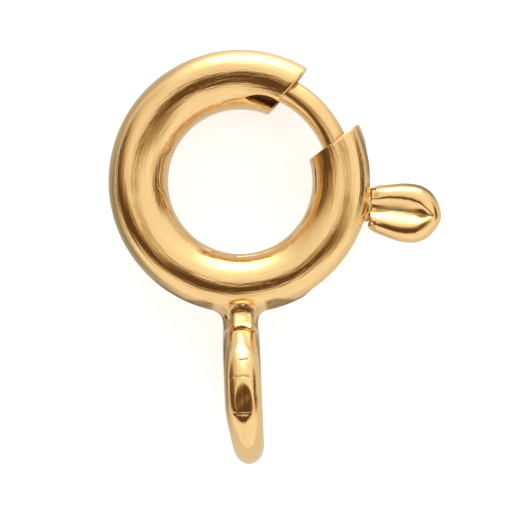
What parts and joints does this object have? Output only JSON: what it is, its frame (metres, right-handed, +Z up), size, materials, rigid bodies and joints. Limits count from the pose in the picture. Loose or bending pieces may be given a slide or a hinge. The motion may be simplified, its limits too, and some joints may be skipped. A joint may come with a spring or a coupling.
{
  "type": "spring ring clasp",
  "caption": "Round jewellery clasp: a hollow ring whose gap is closed by a sprung tongue, drawn back by a small trigger, with a soldered end loop for a chain.",
  "frame": {"origin": "on the surface the clasp lies on, under the middle of its outline", "axes": "+Z up, +Y from the end loop towards the ring, +X towards the trigger; the ring's face looks up, tilted 7 degrees back towards +Y"},
  "size_m": [0.0076, 0.0094, 0.0033],
  "materials": {
    "gold": "polished yellow gold",
    "spring_steel": "bright drawn wire"
  },
  "bodies": {
    "ring": {"ring_body": "gold", "spring": "spring_steel"},
    "slider": {"tongue": "gold", "trigger": "gold"}
  },
  "joints": [
    {"name": "trigger_slide", "type": "hinge", "parent": "ring", "child": "slider", "pos_m": [-0.00083, 0.00171, 0.00107], "axis": [0, -0.1215, -0.9926], "range_deg": [0, 43], "stiffness_Nm_per_rad": 0.003, "springref_deg": -20.05, "deforming": ["spring"]}
  ]
}
